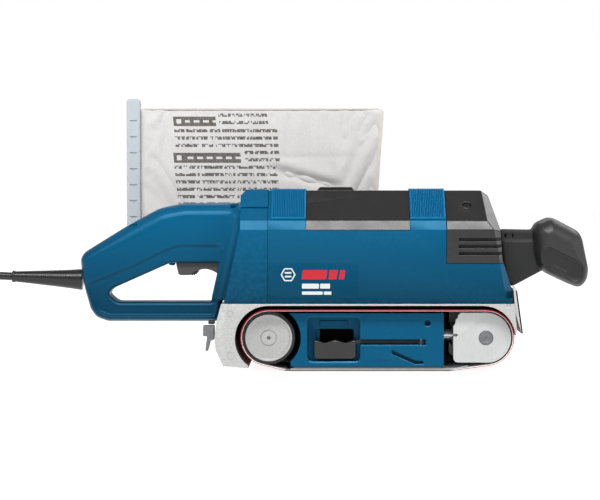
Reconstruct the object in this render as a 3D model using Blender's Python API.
"""Handheld belt sander for 75 mm wide belts.

Frame: +X points to the front knob, -Y is the open side the sanding belt comes off,
+Y is the drive side, +Z is up. The origin is the middle of the flat sanding face.
Lengths are written in millimetres and turned into metres when a mesh is finished.
"""

import math

import bmesh
import bpy
from mathutils import Vector

MM = 0.001
GAP = 0.3  # clearance between neighbouring pieces
FAR = 400.0  # reach of a cutter that has to pass right through

# Sanding belt and its two rollers
BELT_WIDTH = 75.0
BELT_THICK = 1.0
BELT_RADIUS = 24.4  # outside of the belt where it wraps a roller
ROLLER_Z = 29.0
DRUM_X = -86.6
IDLER_X = 103.4
SOLE_HALF = 71.0  # half length of the flat sanding face
HALF_BELT = BELT_WIDTH / 2

# Cast gear housing
CASTING_NEAR = -50.0
CASTING_WALL_IN = 40.0
CASTING_WALL_OUT = 46.0
CASTING_TOP = 59.5
CASTING_BORE = 28.9  # radius of the space round each roller
NOSE_X = 99.4  # centre of the front bend
BOSS_OUT = 52.0

# Motor casing: side view and half cross-section
CASE_FLOOR = 60.2
CASE_EAVES = 123.8
CASE_BREAK = 131.6
CASE_RIDGE = 157.7
CASE_HALF = 46.0
CASE_WALL = 3.0
CASE_SIDE = [
    (-124.9, CASE_FLOOR),
    (125.7, CASE_FLOOR),
    (126.2, 69.9),
    (117.4, 97.3),
    (115.6, CASE_EAVES),
    (106.6, 153.4),
    (100.0, CASE_RIDGE),
    (-107.0, CASE_RIDGE),
    (-111.7, 152.5),
    (-110.9, 124.6),
]
CASE_CROSS = [
    (-CASE_HALF, CASE_FLOOR),
    (CASE_HALF, CASE_FLOOR),
    (CASE_HALF, CASE_EAVES),
    (42.4, CASE_BREAK),
    (11.3, CASE_RIDGE),
    (-11.3, CASE_RIDGE),
    (-42.4, CASE_BREAK),
    (-CASE_HALF, CASE_EAVES),
]
CASE_CORNERS = [
    ((109.5, -CASE_HALF, CASE_EAVES), (0.707, -0.696, 0.125)),
    ((109.5, -CASE_HALF, CASE_EAVES), (0.593, -0.480, 0.647)),
]
CASE_SEAM = -87.35  # joint between the handle shells and the motor housing
COVER_X = (-53.7, 36.4)
COVER_Z = 123.6
CAP_X = 68.4
CAP_Z = 94.6
PAD_X = ((-84.6, -54.1), (36.8, 67.8))
PAD_Z = 132.3
PAD_THICK = 1.5
BULKHEAD = (58.0, 62.0)
VENT_HEIGHTS = (103.2, 109.4, 115.3)
VENT_TALL = 2.6
VENT_START = 79.0

# Frame between the belt's runs, tension lever and tracking
RECESS_X = (-52.9, -6.6)
RECESS_Z = (8.5, 46.9)
RECESS_DEEP = -22.0
LEVER_Z = (23.6, 27.1)
LEVER_PIVOT = (46.8, -33.5)
LEVER_PIN_R = 1.0
TRACKING_AT = (77.0, 29.0)
PLUNGER_R = 5.0
GUIDE_AT = (-32.0, 31.0)
GUIDE_R = 1.3
FORK_X = 74.9
FORK_PIVOT = (FORK_X, 0.0, ROLLER_Z)
FORK_HALF = 36.7
FORK_SHEET = 2.0
AXLE_R = 6.1

# Motor and gear train
MOTOR_Z = 105.0
SHAFT_R = 4.0
CROSS_R = 5.0
PINION_R = 5.0
BEVEL_R = 15.0
UPPER_PULLEY_R = 7.5
LOWER_PULLEY_R = 20.0
PULLEY_Y = (54.0, 66.0)
TOOTH = 1.2

# Rear handle
GRIP_HALF = 17.0
OUTLET_X = -28.0
OUTLET_Z = 142.0
OUTLET_R = 18.5
SPIGOT_R = 15.0
CORD_R = 3.5
CORD_EXIT = (-316.5, 0.0, 81.2)
COIL_CENTRE = (-483.0, 44.0)
COIL_R = 40.0
COIL_HALF = 10.6  # half the coil's width, and half its height
PLUG_AHEAD = 38.0  # from the coil's centre to the plug's cord end
PLUG_LONG = 44.0
PLUG_WIDE = 26.0
PLUG_TALL = 18.0

SCREW_AT = (125.6, 117.7)  # screw that holds the front handle
LOCK_AT = (-186.0, 122.0)
DIAL_AT = (-155.5, 88.6)
HANDLE = [
    (-132.0, 41.2),
    (-131.0, 47.0),
    (-127.9, 60.3),
    (-124.6, 60.6),
    (-108.0, 60.6),
    (-106.0, 146.9),
    (-162.9, 146.6),
    (-183.8, 142.5),
    (-214.8, 125.6),
    (-251.1, 103.0),
    (-254.8, 97.9),
    (-253.0, 82.5),
    (-250.2, 68.8),
    (-245.6, 52.5),
    (-240.2, 45.2),
    (-230.2, 41.2),
]
FINGER_HOLE = [
    (-221.1, 59.3),
    (-137.4, 59.3),
    (-133.4, 62.5),
    (-128.9, 83.3),
    (-127.6, 93.6),
    (-174.0, 93.6),
    (-178.0, 92.4),
    (-225.6, 70.7),
    (-229.4, 67.0),
    (-227.3, 61.8),
]
SWITCH_ROOM = (-198.0, -130.0, 101.0, 136.0)
TRIGGER_X = (-169.8, -128.9)
TRIGGER_Z = (82.6, 94.0)

# Dust bag and power cord
BAG_X = (-211.0, 18.0)
BAG_Y = (92.6, 116.0)
BAG_Z = (101.0, 235.0)
RELIEF_ROOT = (-255.2, 0.0, 78.4)
CORD_ROUTE = [
    CORD_EXIT,
    (-338.0, 0.0, 81.4),
    (-360.0, 0.0, 75.4),
    (-382.0, -0.4, 57.0),
    (-400.0, -0.8, 32.0),
    (-416.0, -1.4, 12.0),
    (-434.0, -2.2, CORD_R + 0.3),
    (-455.2, -3.4, CORD_R + 0.1),
]

# ---------------------------------------------------------------- helpers


def clear_scene():
    for thing in list(bpy.data.objects):
        bpy.data.objects.remove(thing)


def material(name, colour, roughness, metallic=0.0):
    made = bpy.data.materials.get(name)
    if made is None:
        made = bpy.data.materials.new(name)
        made.use_nodes = True
        shader = made.node_tree.nodes["Principled BSDF"]
        shader.inputs["Base Color"].default_value = (*colour, 1.0)
        shader.inputs["Roughness"].default_value = roughness
        shader.inputs["Metallic"].default_value = metallic
    return made


def blue_plastic():
    return material("blue_plastic", (0.0, 0.11, 0.24), 0.42)


def black_plastic():
    return material("black_plastic", (0.045, 0.045, 0.047), 0.5)


def grey_plastic():
    return material("grey_plastic", (0.09, 0.085, 0.085), 0.5)


def cast_aluminium():
    return material("cast_aluminium", (0.62, 0.62, 0.61), 0.5, 0.6)


def steel():
    return material("steel", (0.6, 0.6, 0.6), 0.3, 1.0)


def copper():
    return material("copper", (0.72, 0.34, 0.16), 0.35, 1.0)


def rubber():
    return material("rubber", (0.02, 0.02, 0.02), 0.7)


def abrasive():
    return material("abrasive", (0.6, 0.0, 0.02), 0.9)


def cork():
    return material("cork", (0.35, 0.22, 0.12), 0.85)


def cloth():
    return material("cloth", (0.76, 0.74, 0.7), 0.95)


def rail_plastic():
    return material("rail_plastic", (0.48, 0.52, 0.56), 0.45)


def arc(cx, cz, radius, start, end, steps):
    """Points on a circle from start to end, in degrees, both ends included."""
    points = []
    for i in range(steps + 1):
        angle = math.radians(start + (end - start) * i / steps)
        points.append((cx + radius * math.cos(angle), cz + radius * math.sin(angle)))
    return points


def circle(cx, cz, radius, steps=32):
    return arc(cx, cz, radius, 0, 360, steps)[:-1]


def box_outline(x0, x1, z0, z1):
    return [(x0, z0), (x1, z0), (x1, z1), (x0, z1)]


def rounded_box(x0, x1, z0, z1, radius, steps=4):
    """A rectangle with round corners."""
    points = arc(x1 - radius, z1 - radius, radius, 0, 90, steps)
    points += arc(x0 + radius, z1 - radius, radius, 90, 180, steps)
    points += arc(x0 + radius, z0 + radius, radius, 180, 270, steps)
    points += arc(x1 - radius, z0 + radius, radius, 270, 360, steps)
    return points


def inset(outline, distance):
    """Moves every edge of an anticlockwise outline inwards by the distance."""
    moved = []
    count = len(outline)
    for i in range(count):
        before = Vector(outline[i - 1])
        here = Vector(outline[i])
        after = Vector(outline[(i + 1) % count])
        into = (here - before).normalized()
        out = (after - here).normalized()
        normal_in = Vector((-into.y, into.x))
        normal_out = Vector((-out.y, out.x))
        mitre = (normal_in + normal_out) / (1 + normal_in.dot(normal_out))
        moved.append(tuple(here + mitre * distance))
    return moved


def place(axis, along, a, b):
    """A point whose extrusion axis is given, with its two outline coordinates."""
    if axis == "x":
        return (along, a, b)
    if axis == "y":
        return (a, along, b)
    return (a, b, along)


def prism(outline, low, high, axis="y"):
    bm = bmesh.new()
    ends = []
    for along in (low, high):
        ends.append([bm.verts.new(place(axis, along, a, b)) for a, b in outline])
    count = len(outline)
    for i in range(count):
        j = (i + 1) % count
        bm.faces.new((ends[0][i], ends[0][j], ends[1][j], ends[1][i]))
    bm.faces.new(ends[0])
    bm.faces.new(ends[1])
    bmesh.ops.recalc_face_normals(bm, faces=bm.faces)
    return bm


def box(x0, x1, y0, y1, z0, z1):
    return prism(box_outline(x0, x1, z0, z1), y0, y1)


def sleeve(outer, inner, low, high, axis="y", taper=1.0, centre=(0.0, 0.0)):
    """A tube between two outlines of equal length; taper shrinks the high end's outside."""
    bm = bmesh.new()
    shrunk = [
        (centre[0] + (a - centre[0]) * taper, centre[1] + (b - centre[1]) * taper)
        for a, b in outer
    ]
    loops = []
    for along, outline in ((low, outer), (high, shrunk), (high, inner), (low, inner)):
        loops.append([bm.verts.new(place(axis, along, a, b)) for a, b in outline])
    count = len(outer)
    for k in range(4):
        here, after = loops[k], loops[(k + 1) % 4]
        for i in range(count):
            j = (i + 1) % count
            bm.faces.new((here[i], here[j], after[j], after[i]))
    bmesh.ops.recalc_face_normals(bm, faces=bm.faces)
    return bm


def turned(profile, axis, centre, steps=32):
    """Turns (radius, along) points about an axis; points of radius 0 close the ends."""
    bm = bmesh.new()
    rings = []
    for radius, along in profile:
        if radius == 0:
            rings.append([bm.verts.new(place(axis, along, *centre))])
        else:
            points = circle(centre[0], centre[1], radius, steps)
            rings.append([bm.verts.new(place(axis, along, a, b)) for a, b in points])
    closed = profile[0][0] > 0
    spans = list(zip(rings, rings[1:]))
    if closed:
        spans.append((rings[-1], rings[0]))
    for here, after in spans:
        for i in range(steps):
            j = (i + 1) % steps
            if len(here) == 1:
                bm.faces.new((here[0], after[j], after[i]))
            elif len(after) == 1:
                bm.faces.new((here[i], here[j], after[0]))
            else:
                bm.faces.new((here[i], here[j], after[j], after[i]))
    bmesh.ops.recalc_face_normals(bm, faces=bm.faces)
    return bm


def tube(inner, outer, low, high, axis, centre, steps=32):
    profile = [(inner, low), (outer, low), (outer, high), (inner, high)]
    return turned(profile, axis, centre, steps)


def rod(radius, low, high, axis, centre, steps=24):
    return turned([(0, low), (radius, low), (radius, high), (0, high)], axis, centre, steps)


def round_rim(bm, level, width, steps=2):
    """Bevels the edges that lie in the plane y = level."""
    rim = [e for e in bm.edges if all(abs(v.co.y - level) < 0.001 for v in e.verts)]
    bmesh.ops.bevel(
        bm, geom=rim, offset=width, segments=steps, profile=0.5, affect="EDGES"
    )
    return bm


def toothed(cx, cz, root, tip, teeth):
    """A gear or fan outline: four points for each tooth."""
    points = []
    for i in range(teeth):
        for part, radius in ((0.0, root), (0.4, root), (0.5, tip), (0.9, tip)):
            angle = 2 * math.pi * (i + part) / teeth
            points.append((cx + radius * math.cos(angle), cz + radius * math.sin(angle)))
    return points


def wheel(cx, cz, root, tip, teeth, bore, low, high, axis="y", taper=1.0):
    """A toothed wheel with a round bore."""
    outer = toothed(cx, cz, root, tip, teeth)
    inner = []
    for a, b in outer:
        angle = math.atan2(b - cz, a - cx)
        inner.append((cx + bore * math.cos(angle), cz + bore * math.sin(angle)))
    return sleeve(outer, inner, low, high, axis, taper, (cx, cz))


def piece(name, bm, finish, pivot=(0.0, 0.0, 0.0)):
    """Makes the named object from a mesh in millimetres, with its origin at the pivot."""
    bmesh.ops.translate(bm, verts=bm.verts, vec=-Vector(pivot))
    bmesh.ops.scale(bm, verts=bm.verts, vec=(MM, MM, MM))
    mesh = bpy.data.meshes.new(name)
    bm.to_mesh(mesh)
    bm.free()
    mesh.materials.append(finish)
    mesh.shade_smooth()
    mesh.set_sharp_from_angle(angle=math.radians(35))
    made = bpy.data.objects.new(name, mesh)
    made.location = Vector(pivot) * MM
    bpy.context.scene.collection.objects.link(made)
    return made


def helper(name, bm):
    """A shape that only cuts or adds to others."""
    made = piece(name, bm, steel())
    made.hide_render = True
    made.display_type = "WIRE"
    return made


def combine(target, tool, operation):
    step = target.modifiers.new(tool.name, "BOOLEAN")
    step.operation = operation
    step.solver = "EXACT"
    step.object = tool


def cut(target, name, bm):
    combine(target, helper(name, bm), "DIFFERENCE")


def add(target, name, bm):
    combine(target, helper(name, bm), "UNION")


def keep(target, name, bm):
    combine(target, helper(name, bm), "INTERSECT")


# ---------------------------------------------------------------- sanding belt


def belt_outline(radius, lift, wrap_steps=18):
    """The belt's loop: a flat run at height lift, up to both rollers and over the top."""
    front = tangent_angle(SOLE_HALF, lift, IDLER_X, radius, 1)
    rear = tangent_angle(-SOLE_HALF, lift, DRUM_X, radius, -1)
    points = [(-SOLE_HALF, lift), (SOLE_HALF, lift)]
    points += arc(IDLER_X, ROLLER_Z, radius, front, 90, wrap_steps)
    points += arc(DRUM_X, ROLLER_Z, radius, 90, rear, wrap_steps)
    return points


def tangent_angle(x, z, centre_x, radius, side):
    """Where a line from (x, z) touches a roller, as an angle about its centre."""
    away = Vector((x - centre_x, z - ROLLER_Z))
    towards = math.degrees(math.atan2(away.y, away.x))
    spread = math.degrees(math.acos(radius / away.length))
    return towards + side * spread + (360 if side < 0 else 0)


def sanding_belt():
    outer = belt_outline(BELT_RADIUS, 0.0)
    inner = belt_outline(BELT_RADIUS - BELT_THICK, BELT_THICK)
    return piece("sanding_belt", sleeve(outer, inner, -HALF_BELT, HALF_BELT), abrasive())


# ---------------------------------------------------------------- frame


def gear_housing():
    """Casting: roof over the belt, rear wall, front nose and the drive-side wall."""
    outline = [
        (-103.7, 3.6),
        (-102.0, 8.0),
        (112.0, 8.0),
        (123.0, 18.0),
        (128.4, 33.0),
        (129.3, 36.0),
        (127.0, CASTING_TOP),
        (-127.3, CASTING_TOP),
        (-131.2, 45.3),
        (-133.2, 30.7),
        (-132.2, 19.4),
        (-125.6, 5.5),
    ]
    body = piece("gear_housing", prism(outline, CASTING_NEAR, CASTING_WALL_OUT), cast_aluminium())
    space = [(-103.3, -20.0), (NOSE_X + CASTING_BORE, -20.0)]
    space += arc(NOSE_X, ROLLER_Z, CASTING_BORE, 0, 90, 10)
    space += arc(DRUM_X, ROLLER_Z, CASTING_BORE, 90, 233, 16)
    cut(body, "belt_space", prism(space, -FAR, CASTING_WALL_IN))
    add(body, "shaft_boss", rod(18.0, 43.0, BOSS_OUT, "y", (DRUM_X, ROLLER_Z)))
    cut(body, "shaft_bore", rod(13.3, 30.0, FAR, "y", (DRUM_X, ROLLER_Z)))
    cut(body, "tracking_bore", rod(3.6, 30.0, FAR, "y", TRACKING_AT))
    return body


def base_frame():
    """Block between the belt's runs: platen carrier with the lever's recess."""
    outline = [(-67.2, 4.0), (66.4, 4.0), (66.4, 50.6), (-69.2, 50.6)]
    block = prism(outline, -HALF_BELT + 0.5, CASTING_WALL_IN - GAP)
    body = piece("base_frame", block, blue_plastic())
    cut(body, "drum_space", rod(28.2, -FAR, FAR, "y", (DRUM_X, ROLLER_Z), 48))
    cut(body, "lever_recess", prism(rounded_box(*RECESS_X, *RECESS_Z, 4.0), -FAR, RECESS_DEEP))
    cut(body, "frame_room", box(-42.0, 26.0, RECESS_DEEP + 4.0, FAR, 8.0, 46.0))
    x0, x1 = RECESS_X[1] - 3, LEVER_PIVOT[0] + 4
    slot = box(x0, x1, -FAR, -30.0, LEVER_Z[0] - 0.6, LEVER_Z[1] + 0.6)
    cut(body, "lever_slot", slot)
    cut(body, "sight_hole", rod(2.7, -FAR, -27.0, "y", (52.3, 42.0), 16))
    groove = [(21.0, 18.6), (21.0, 15.2), (41.0, 6.2), (48.5, 6.2), (48.5, 9.0), (41.5, 9.4)]
    cut(body, "chip_groove", prism(groove, -FAR, -34.5))
    cut(body, "plunger_bore", rod(PLUNGER_R + 0.4, 30.0, FAR, "x", (0.0, ROLLER_Z)))
    cut(body, "guide_bore", rod(GUIDE_R + 0.4, 48.5, FAR, "x", GUIDE_AT, 12))
    pin_bore = rod(LEVER_PIN_R + GAP, LEVER_Z[0] - 4, LEVER_Z[1] + 2.2, "z", LEVER_PIVOT, 12)
    cut(body, "pin_bore", pin_bore)
    return body


def sole_plate():
    """Steel strip the belt slides on, its front end turned up."""
    outline = [
        (-67.5, 1.3),
        (70.8, 1.3),
        (87.6, 3.9),
        (87.6, 4.9),
        (70.6, 2.1),
        (-67.5, 2.1),
    ]
    return piece("sole_plate", prism(outline, -36.5, 36.5), steel())


def sole_pad():
    return piece("sole_pad", box(-65.0, 65.0, -36.5, 36.5, 2.4, 3.7), cork())


def front_guard():
    """Thin sheet blade in front of the front roller."""
    outline = [(128.2, 71.0), (133.4, 33.6), (134.6, 33.6), (129.5, 71.0)]
    return piece("front_guard", prism(outline, -48.0, 44.0), steel())


def rear_bracket():
    """Small bent sheet hook at the back of the casting."""
    outline = [
        (-133.8, 40.0),
        (-143.5, 40.0),
        (-143.5, 31.0),
        (-140.0, 31.0),
        (-141.5, 18.0),
        (-139.6, 18.0),
        (-137.2, 27.0),
        (-134.0, 28.0),
    ]
    return piece("rear_bracket", prism(outline, -44.0, -30.0), steel())


# ---------------------------------------------------------------- motor casing


def case_block(name, grow, floor=None):
    """The casing's outside, grown or shrunk: side view crossed with the section."""
    side = inset(CASE_SIDE, -grow)
    section = inset(CASE_CROSS, -grow)
    if floor is not None:
        side[0], side[1] = (side[0][0], floor), (side[1][0], floor)
        section[0], section[1] = (section[0][0], floor), (section[1][0], floor)
    solid = prism(side, -60.0, 60.0)
    block = helper(name, solid)
    keep(block, name + "_section", prism(section, -FAR, FAR, "x"))
    for k, (point, outward) in enumerate(CASE_CORNERS):
        for hand in (-1, 1):
            slab = corner_slab(point, outward, hand, grow)
            cut(block, f"{name}_corner_{k}_{hand}", slab)
    return block


def corner_slab(point, outward, hand, grow):
    """A thick slab beyond a slanted plane, on the near or the far side."""
    normal = Vector((outward[0], -hand * outward[1], outward[2])).normalized()
    middle = Vector((point[0], -hand * point[1], point[2])) + normal * grow
    slab = bmesh.new()
    bmesh.ops.create_cube(slab, size=120.0)
    turn = normal.to_track_quat("X", "Z").to_matrix().to_4x4()
    bmesh.ops.transform(slab, verts=slab.verts, matrix=turn)
    bmesh.ops.translate(slab, verts=slab.verts, vec=middle + normal * 60.0)
    return slab


def clad(name, finish, outside, region):
    """A part of the casing: what lies both in the region and in the outside shape."""
    made = piece(name, region, finish)
    combine(made, outside, "INTERSECT")
    return made


def casing():
    outside = case_block("case_outside", 0.0)
    inside = case_block("case_inside", -CASE_WALL, 40.0)
    under_pad = case_block("case_under_pad", GAP)
    over_pad = case_block("case_over_pad", GAP + PAD_THICK)

    region = box(CASE_SEAM + GAP / 2, FAR, -60, 60, 50, FAR)
    housing = clad("motor_housing", blue_plastic(), outside, region)
    rear_room = helper("rear_room", box(-FAR, BULKHEAD[0], -60, 60, 0, FAR))
    combine(rear_room, inside, "INTERSECT")
    front_room = helper("front_room", box(BULKHEAD[1], FAR, -60, 60, 0, FAR))
    combine(front_room, inside, "INTERSECT")
    combine(housing, rear_room, "DIFFERENCE")
    combine(housing, front_room, "DIFFERENCE")
    cut(housing, "cover_room", box(COVER_X[0] - GAP, COVER_X[1] + GAP, -60, 60, COVER_Z - GAP, FAR))
    cut(housing, "cap_room", box(CAP_X - GAP, FAR, -60, 60, CAP_Z - GAP, FAR))
    cut(housing, "cross_bore", rod(11.0, 30.0, FAR, "y", (DRUM_X, MOTOR_Z)))
    cut(housing, "front_seat", rod(9.8, BULKHEAD[0] - 5, BULKHEAD[1] + 5, "x", (0.0, MOTOR_Z)))

    cover = clad("top_cover", black_plastic(), outside, box(*COVER_X, -60, 60, COVER_Z, FAR))
    combine(cover, inside, "DIFFERENCE")

    cap = clad("front_cap", black_plastic(), outside, box(CAP_X, FAR, -60, 60, CAP_Z, FAR))
    combine(cap, inside, "DIFFERENCE")
    for side in (-1, 1):
        for level in VENT_HEIGHTS:
            low, high = sorted((side * 38.0, side * 60.0))
            slot = box(VENT_START, FAR, low, high, level - VENT_TALL / 2, level + VENT_TALL / 2)
            cut(cap, f"vent_{side}_{level}", slot)

    for name, (x0, x1) in zip(("rear_grip_pad", "front_grip_pad"), PAD_X):
        pad = clad(name, blue_plastic(), over_pad, box(x0, x1, -60, 60, PAD_Z, FAR))
        combine(pad, under_pad, "DIFFERENCE")

    handle_shells(outside, inside)


def handle_shells(outside, inside):
    """Two mirrored shells: D-shaped grip, and the flared rear of the casing."""
    for name, side in (("handle_shell_right", -1), ("handle_shell_left", 1)):
        near, far = sorted((side * GAP / 2, side * GRIP_HALF))
        grip = prism(HANDLE, near, far)
        round_rim(grip, side * GRIP_HALF, 4.0)
        shell = piece(name, grip, blue_plastic())
        cut(shell, name + "_fingers", prism(FINGER_HOLE, -FAR, FAR))
        low, high = sorted((side * GAP / 2, side * 60.0))
        flare = helper(name + "_flare", box(-FAR, CASE_SEAM - GAP / 2, low, high, 50, FAR))
        combine(flare, outside, "INTERSECT")
        combine(shell, flare, "UNION")
        combine(shell, inside, "DIFFERENCE")
        x0, x1, z0, z1 = SWITCH_ROOM
        cut(shell, name + "_switch_room", box(x0, x1, -14.0, 14.0, z0, z1))
        trigger_room = box(TRIGGER_X[0] - 1.2, TRIGGER_X[1] + 1.2, -9.6, 9.6, 81.0, z0 + 1)
        cut(shell, name + "_trigger_room", trigger_room)
        duct = [(-262.0, 75.0), (-262.0, 81.0), (-197.0, 114.0), (-197.0, 106.0), (-246.0, 75.0)]
        cut(shell, name + "_cord_duct", prism(duct, -4.0, 4.0))
        if side > 0:
            cut(shell, "shell_cross_bore", rod(11.0, 30.0, FAR, "y", (DRUM_X, MOTOR_Z)))
            cut(shell, "lock_bore", rod(5.4, 10.0, FAR, "y", LOCK_AT))


def switch_parts():
    x0, x1, z0, z1 = SWITCH_ROOM
    body = box(x0 + 3, x1 - 1, -12.5, 12.5, z0 + 2, z1 - 2)
    switch = piece("switch_body", body, black_plastic())
    cut(switch, "lock_room", rod(6.0, 4.0, FAR, "y", LOCK_AT))
    low, high = TRIGGER_Z
    outline = [
        (TRIGGER_X[0] + 2.5, low),
        (TRIGGER_X[0] + 12.0, low),
        (-149.0, low + 4.0),
        (-140.0, low + 4.0),
        (TRIGGER_X[1], low + 0.6),
        (TRIGGER_X[1], high),
        (TRIGGER_X[0], high),
    ]
    trigger = piece("trigger", prism(outline, -9.0, 9.0), grey_plastic())
    cut(trigger, "dial_room", box(DIAL_AT[0] - 7.2, DIAL_AT[0] + 7.2, -3.4, 3.4, 70.0, FAR))
    dial = wheel(DIAL_AT[0], DIAL_AT[1], 5.8, 6.5, 14, 1.5, -2.8, 2.8)
    piece("speed_dial", dial, black_plastic(), (DIAL_AT[0], 0.0, DIAL_AT[1]))
    button = rod(5.0, 7.0, 19.5, "y", LOCK_AT)
    piece("lock_button", button, grey_plastic())


def front_handle():
    """Black knob on a short arm in front of the casing."""
    arm = [
        (116.4, 123.5),
        (118.2, 96.0),
        (125.6, 73.4),
        (128.6, 72.6),
        (159.0, 88.5),
        (159.0, 123.5),
    ]
    body = piece("front_handle", prism(arm, -13.0, 13.0), black_plastic())
    head = [
        (155.8, 133.9),
        (148.9, 128.6),
        (145.9, 122.4),
        (146.8, 103.5),
        (150.4, 89.5),
        (157.7, 83.9),
        (176.7, 75.3),
        (184.9, 73.3),
        (192.2, 76.2),
        (195.3, 86.2),
        (190.0, 115.3),
        (186.7, 120.8),
        (161.4, 133.5),
    ]
    knob = prism(head, -27.0, 27.0)
    round_rim(knob, -27.0, 5.0)
    round_rim(knob, 27.0, 5.0)
    add(body, "front_knob", knob)
    cut(body, "handle_screw_hole", rod(3.4, -FAR, -6.0, "y", SCREW_AT, 16))
    screw = [(0, -11.0), (2.9, -11.0), (2.9, -8.5), (1.6, -8.5), (1.6, -6.4), (0, -6.4)]
    piece("front_handle_screw", turned(screw, "y", SCREW_AT, 16), steel())


# ---------------------------------------------------------------- motor and drive


def motor():
    centre = (0.0, MOTOR_Z)
    pivot = (0.0, 0.0, MOTOR_Z)
    piece("field_core", tube(20.6, 33.0, -35.0, 27.0, "x", centre, 40), steel())
    piece("armature_shaft", rod(SHAFT_R, -70.6, 66.0, "x", centre), steel(), pivot)
    core = wheel(*centre, 18.6, 20.0, 12, SHAFT_R + GAP, -33.0, 25.0, "x")
    piece("armature_core", core, steel(), pivot)
    commutator = wheel(*centre, 10.4, 11.0, 12, SHAFT_R + GAP, 34.0, 49.0, "x")
    piece("commutator", commutator, copper(), pivot)
    fan = wheel(*centre, 12.0, 30.0, 9, SHAFT_R + GAP, -58.0, -48.0, "x")
    piece("cooling_fan", fan, black_plastic(), pivot)
    pinion = toothed(0.0, MOTOR_Z, PINION_R - TOOTH, PINION_R - 0.5, 9)
    shape = prism(pinion, -77.0, -71.0, "x")
    piece("bevel_pinion", shape, steel(), pivot)
    bearing(-68.4, -61.6, 11.0, SHAFT_R, "x", centre, "motor_bearing_rear")
    bearing(BULKHEAD[0] + 0.2, BULKHEAD[1], 9.5, SHAFT_R, "x", centre, "motor_bearing_front")
    for name, side in (("brush_holder_right", -1), ("brush_holder_left", 1)):
        near, far = sorted((side * 11.5, side * 37.0))
        piece(name, box(37.0, 46.0, near, far, MOTOR_Z - 6, MOTOR_Z + 6), copper())
    gearbox_bracket()


def bearing(low, high, radius, shaft, axis, centre, name):
    piece(name, tube(shaft + GAP, radius, low, high, axis, centre, 28), steel())


def gearbox_bracket():
    """Plate that carries the rear motor bearing, with two cheeks for the cross shaft."""
    body = piece("gearbox_bracket", box(-68.0, -62.0, -38.0, 38.0, 66.0, 127.0), cast_aluminium())
    for name, low, high in (("near_cheek", -19.0, -12.0), ("far_cheek", 15.0, 22.0)):
        add(body, name, box(-101.0, -65.0, low, high, 90.0, 120.0))
    cut(body, "plate_bore", rod(11.3, -90.0, -50.0, "x", (0.0, MOTOR_Z)))
    cut(body, "cheek_bore", rod(10.3, -FAR, FAR, "y", (DRUM_X, MOTOR_Z)))


def cross_drive():
    centre = (DRUM_X, MOTOR_Z)
    pivot = (DRUM_X, 0.0, MOTOR_Z)
    piece("cross_shaft", rod(CROSS_R, -20.0, PULLEY_Y[1] + 1, "y", centre), steel(), pivot)
    gear = wheel(*centre, BEVEL_R - 0.9, BEVEL_R - 0.3, 18, CROSS_R + GAP, 5.6, 11.0)
    piece("bevel_gear", gear, steel(), pivot)
    bearing(-18.7, -12.3, 10.0, CROSS_R, "y", centre, "cross_bearing_near")
    bearing(15.3, 21.7, 10.0, CROSS_R, "y", centre, "cross_bearing_far")
    pulley = wheel(*centre, UPPER_PULLEY_R - TOOTH, UPPER_PULLEY_R, 10, CROSS_R + GAP, *PULLEY_Y)
    piece("upper_pulley", pulley, steel(), pivot)
    loop = pulley_loop(UPPER_PULLEY_R + 0.5, LOWER_PULLEY_R + 0.5)
    outer = pulley_loop(UPPER_PULLEY_R + 2.3, LOWER_PULLEY_R + 2.3)
    piece("timing_belt", sleeve(outer, loop, PULLEY_Y[0] + 1, PULLEY_Y[1] - 1), rubber())
    cover_room = pulley_loop(UPPER_PULLEY_R + 5.5, LOWER_PULLEY_R + 3.6)
    cover_skin = pulley_loop(UPPER_PULLEY_R + 8.5, LOWER_PULLEY_R + 6.4)
    skin = prism(cover_skin, CASTING_WALL_OUT + GAP, PULLEY_Y[1] + 6)
    round_rim(skin, PULLEY_Y[1] + 6, 3.0)
    cover = piece("drive_cover", skin, black_plastic())
    cut(cover, "cover_hollow", prism(cover_room, 0.0, PULLEY_Y[1] + 3))


def pulley_loop(top_radius, low_radius, steps=14):
    """A taut loop round the two pulleys, or an outline at some distance from them."""
    span = MOTOR_Z - ROLLER_Z
    lean = math.degrees(math.asin((low_radius - top_radius) / span))
    points = arc(DRUM_X, MOTOR_Z, top_radius, lean, 180 - lean, steps)
    points += arc(DRUM_X, ROLLER_Z, low_radius, 180 - lean, 360 + lean, steps + 6)
    return points


def drum():
    """Rear drive roller, its shaft and the pulley on it."""
    centre = (DRUM_X, ROLLER_Z)
    pivot = (DRUM_X, 0.0, ROLLER_Z)
    face = -36.5
    profile = [
        (0, face + 1.6),
        (1.7, face + 1.6),
        (1.7, face + 0.9),
        (6.8, face + 0.9),
        (6.8, face + 1.2),
        (18.9, face + 1.2),
        (18.9, face),
        (20.7, face),
        (20.7, 36.5),
        (6.3, 36.5),
        (6.3, 0.0),
        (0, 0.0),
    ]
    piece("drive_drum", turned(profile, "y", centre, 40), cast_aluminium(), pivot)
    piece("drum_sleeve", tube(21.0, 23.1, face, 36.5, "y", centre, 48), rubber(), pivot)
    piece("drum_shaft", rod(6.0, 0.5, PULLEY_Y[1] + 1, "y", centre), steel(), pivot)
    bearing(CASTING_WALL_IN + 1, BOSS_OUT - 1, 13.0, 6.0, "y", centre, "drum_bearing")
    pulley = wheel(*centre, LOWER_PULLEY_R - TOOTH, LOWER_PULLEY_R, 20, 6.3, *PULLEY_Y)
    piece("lower_pulley", pulley, steel(), pivot)


# ---------------------------------------------------------------- tension and tracking


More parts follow.
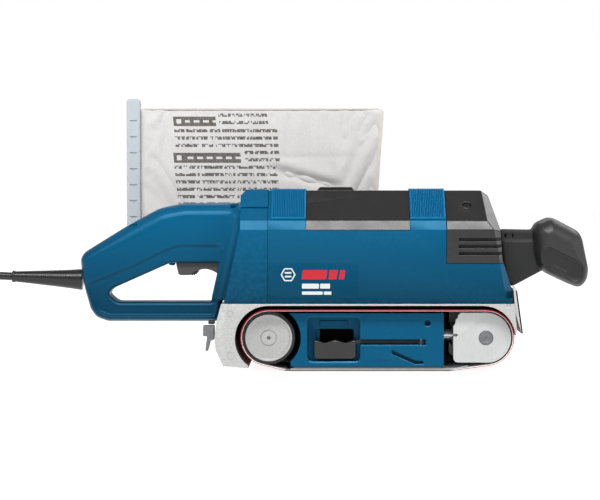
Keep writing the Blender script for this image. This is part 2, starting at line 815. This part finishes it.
def idler():
    """Front roller in its fork, with the plunger that pushes it forward."""
    centre = (IDLER_X, ROLLER_Z)
    pivot = (IDLER_X, 0.0, ROLLER_Z)
    crown = [
        (6.4, -34.2),
        (22.3, -34.2),
        (22.8, -12.0),
        (22.8, 12.0),
        (22.3, 34.2),
        (6.4, 34.2),
    ]
    piece("idler_roller", turned(crown, "y", centre, 40), cast_aluminium(), pivot)
    piece("idler_axle", rod(AXLE_R, -37.2, 37.2, "y", centre), steel())
    cheek = arc(FORK_X + 4.0, 11.5, 4.0, 180, 270, 4)
    cheek += arc(IDLER_X, ROLLER_Z, 22.0, -77, 90, 18) + [(FORK_X, 51.0)]
    near_plate = prism(cheek, -FORK_HALF, FORK_SHEET - FORK_HALF)
    fork = piece("idler_fork", near_plate, cast_aluminium(), FORK_PIVOT)
    add(fork, "far_cheek_plate", prism(cheek, FORK_HALF - FORK_SHEET, FORK_HALF))
    add(fork, "fork_bridge", box(FORK_X, FORK_X + 4.4, -36.0, 36.0, 20.0, 38.0))
    cut(fork, "axle_bore", rod(AXLE_R + GAP, -FAR, FAR, "y", centre))
    cut(fork, "fork_pocket", rod(PLUNGER_R + 1.2, 60.0, FORK_X + 2.4, "x", (0.0, ROLLER_Z)))
    piece("tension_plunger", rod(PLUNGER_R, 44.0, FORK_X + 1.8, "x", (0.0, ROLLER_Z)), steel())
    piece("guide_rod", rod(GUIDE_R, 54.0, FORK_X - 0.5, "x", GUIDE_AT, 12), steel())
    tracking = [
        (0, 39.0),
        (3.2, 39.0),
        (3.2, 47.0),
        (12.0, 47.0),
        (12.0, 58.0),
        (10.5, 60.0),
        (0, 60.0),
    ]
    knob_pivot = (TRACKING_AT[0], 0.0, TRACKING_AT[1])
    piece("tracking_knob", turned(tracking, "y", TRACKING_AT, 28), black_plastic(), knob_pivot)
    spring = coil_spring(35.6, 43.7, 3.4, 0.6, 5)
    piece("tension_spring", spring, steel())


def coil_spring(low, high, radius, wire, turns, per_turn=9, sides=5):
    """A round wire wound along +X about the plunger's line."""
    bm = bmesh.new()
    rings = []
    total = turns * per_turn
    slope = (high - low - 2 * wire) / (turns * 2 * math.pi)
    for i in range(total + 1):
        turn = 2 * math.pi * i / per_turn
        outward = Vector((0.0, math.cos(turn), math.sin(turn)))
        forward = Vector((slope, -radius * math.sin(turn), radius * math.cos(turn))).normalized()
        across = forward.cross(outward)
        centre = Vector((low + wire + slope * turn, 0.0, ROLLER_Z)) + outward * radius
        ring = []
        for k in range(sides):
            angle = 2 * math.pi * k / sides
            offset = outward * math.cos(angle) + across * math.sin(angle)
            ring.append(bm.verts.new(centre + offset * wire))
        rings.append(ring)
    for here, after in zip(rings, rings[1:]):
        for k in range(sides):
            j = (k + 1) % sides
            bm.faces.new((here[k], here[j], after[j], after[k]))
    bm.faces.new(rings[0])
    bm.faces.new(rings[-1])
    bmesh.ops.recalc_face_normals(bm, faces=bm.faces)
    return bm


def tension_lever():
    """Grip in the recess and its arm in the slot, turning about the pin."""
    grip = [
        (-46.9, 12.5),
        (-44.9, 10.5),
        (-13.2, 10.5),
        (-11.2, 12.5),
        (-10.4, LEVER_Z[1]),
        (-14.0, LEVER_Z[1]),
        (-22.0, 25.0),
        (-29.5, LEVER_Z[1]),
        (-38.0, 25.2),
        (-44.5, LEVER_Z[1]),
        (-46.9, 26.6),
    ]
    pivot = (LEVER_PIVOT[0], LEVER_PIVOT[1], LEVER_Z[0])
    body = piece("tension_lever", prism(grip, -36.6, -26.5), black_plastic(), pivot)
    arm = [(-13.0, -36.0), (LEVER_PIVOT[0], -36.0)]
    arm += arc(*LEVER_PIVOT, 2.5, -90, 90, 8)[1:]
    arm += [(-13.0, -31.0)]
    add(body, "lever_arm", prism(arm, *LEVER_Z, "z"))
    cut(body, "lever_eye", rod(LEVER_PIN_R + GAP, 0.0, 60.0, "z", LEVER_PIVOT, 12))
    pin = rod(LEVER_PIN_R, LEVER_Z[0] - 3.5, LEVER_Z[1] + 1.8, "z", LEVER_PIVOT, 12)
    piece("lever_pin", pin, steel())


# ---------------------------------------------------------------- dust collection


def dust_duct():
    """Duct up the drive side to the spigot that the bag pushes on."""
    x0, x1 = OUTLET_X - OUTLET_R, OUTLET_X + OUTLET_R
    wall = CASTING_WALL_OUT + GAP
    top = OUTLET_Z + OUTLET_R
    outline = [
        (x0 + 2, 66.0),
        (x1 - 2, 66.0),
        (x1, 124.0),
        (x1, top - 5),
        (x1 - 4, top),
        (x0 + 4, top),
        (x0, top - 5),
        (x0, 124.0),
    ]
    body = piece("dust_duct", prism(outline, wall, 64.0), black_plastic())
    add(body, "duct_spigot", rod(SPIGOT_R, 60.0, 90.0, "y", (OUTLET_X, OUTLET_Z), 32))
    cut(body, "duct_hollow", box(x0 + 5, x1 - 5, wall + 3, 61.0, 40.0, OUTLET_Z + 2))
    cut(body, "spigot_bore", rod(SPIGOT_R - 2.4, wall + 4, FAR, "y", (OUTLET_X, OUTLET_Z), 32))


def dust_bag():
    """Neck ring, plain body of the cloth bag and the rail that closes its end."""
    ring = tube(SPIGOT_R + GAP, SPIGOT_R + 3, 68.0, BAG_Y[0] - GAP, "y", (OUTLET_X, OUTLET_Z))
    piece("bag_neck", ring, black_plastic())
    x0, x1 = BAG_X
    z0, z1 = BAG_Z
    middle = (BAG_Y[0] + BAG_Y[1]) / 2
    section = [
        (middle - 4, z0),
        (middle + 4, z0),
        (BAG_Y[1], z0 + 22),
        (BAG_Y[1], z1 - 22),
        (middle + 4, z1),
        (middle - 4, z1),
        (BAG_Y[0], z1 - 22),
        (BAG_Y[0], z0 + 22),
    ]
    piece("dust_bag", prism(section, x0, x1, "x"), cloth())
    rail = box(x0 - 13, x0 - GAP, middle - 6, middle + 6, z0 - 3, z1 + 8)
    piece("bag_rail", rail, rail_plastic())


# ---------------------------------------------------------------- power cord


def strain_relief():
    """Tapered rubber sleeve: its axis rises a little towards the thin end."""
    run = Vector(CORD_EXIT) - Vector(RELIEF_ROOT)
    length = run.length - GAP
    profile = [
        (0, 0),
        (9.2, 0),
        (8.4, -0.25 * length),
        (6.4, -0.65 * length),
        (4.7, -0.94 * length),
        (5.2, -0.96 * length),
        (5.2, -length),
        (0, -length),
    ]
    made = piece("strain_relief", turned(profile, "x", (0.0, 0.0), 20), rubber())
    made.location = Vector(RELIEF_ROOT) * MM
    made.rotation_euler = (0.0, math.atan2(run.z, -run.x), 0.0)


def smooth_route(route, spacing):
    """Points at an even spacing on the smooth curve through the route's points."""
    places = [Vector(point) for point in route]
    ends = [places[0] * 2 - places[1]] + places + [places[-1] * 2 - places[-2]]
    fine = []
    for i in range(len(places) - 1):
        a, b, c, d = ends[i : i + 4]
        for step in range(40):
            t = step / 40
            fine.append(
                0.5
                * (
                    2 * b
                    + (c - a) * t
                    + (2 * a - 5 * b + 4 * c - d) * t**2
                    + (3 * b - a - 3 * c + d) * t**3
                )
            )
    fine.append(places[-1])
    even = [fine[0]]
    for point in fine:
        if (point - even[-1]).length >= spacing:
            even.append(point)
    even[-1] = fine[-1]
    return even


def power_cord():
    curve = bpy.data.curves.new("power_cord", "CURVE")
    curve.dimensions = "3D"
    curve.bevel_depth = CORD_R * MM
    curve.bevel_resolution = 2
    curve.use_fill_caps = True
    points = smooth_route(CORD_ROUTE, CORD_R * 5)
    spline = curve.splines.new("POLY")
    spline.points.add(len(points) - 1)
    for target, point in zip(spline.points, points):
        target.co = (*(point * MM), 1.0)
    curve.materials.append(rubber())
    cord = bpy.data.objects.new("power_cord", curve)
    bpy.context.scene.collection.objects.link(cord)


def cord_coil():
    inner, outer = COIL_R - COIL_HALF, COIL_R + COIL_HALF
    ring = tube(inner, outer, 0.0, 2 * COIL_HALF, "z", COIL_CENTRE, 40)
    piece("cord_coil", ring, rubber())


def plug():
    """Moulded plug beside the coil, in line with the cord that leaves its outer turn."""
    x0 = COIL_CENTRE[0] + PLUG_AHEAD
    middle = COIL_CENTRE[1] + COIL_R + COIL_HALF - CORD_R
    low, high = middle - PLUG_WIDE / 2, middle + PLUG_WIDE / 2
    body = box(x0, x0 + PLUG_LONG, low, high, 0.0, PLUG_TALL)
    piece("plug", body, black_plastic())


def build():
    clear_scene()
    sanding_belt()
    gear_housing()
    base_frame()
    sole_plate()
    sole_pad()
    front_guard()
    rear_bracket()
    casing()
    switch_parts()
    front_handle()
    motor()
    cross_drive()
    drum()
    idler()
    tension_lever()
    dust_duct()
    dust_bag()
    strain_relief()
    power_cord()
    cord_coil()
    plug()


build()
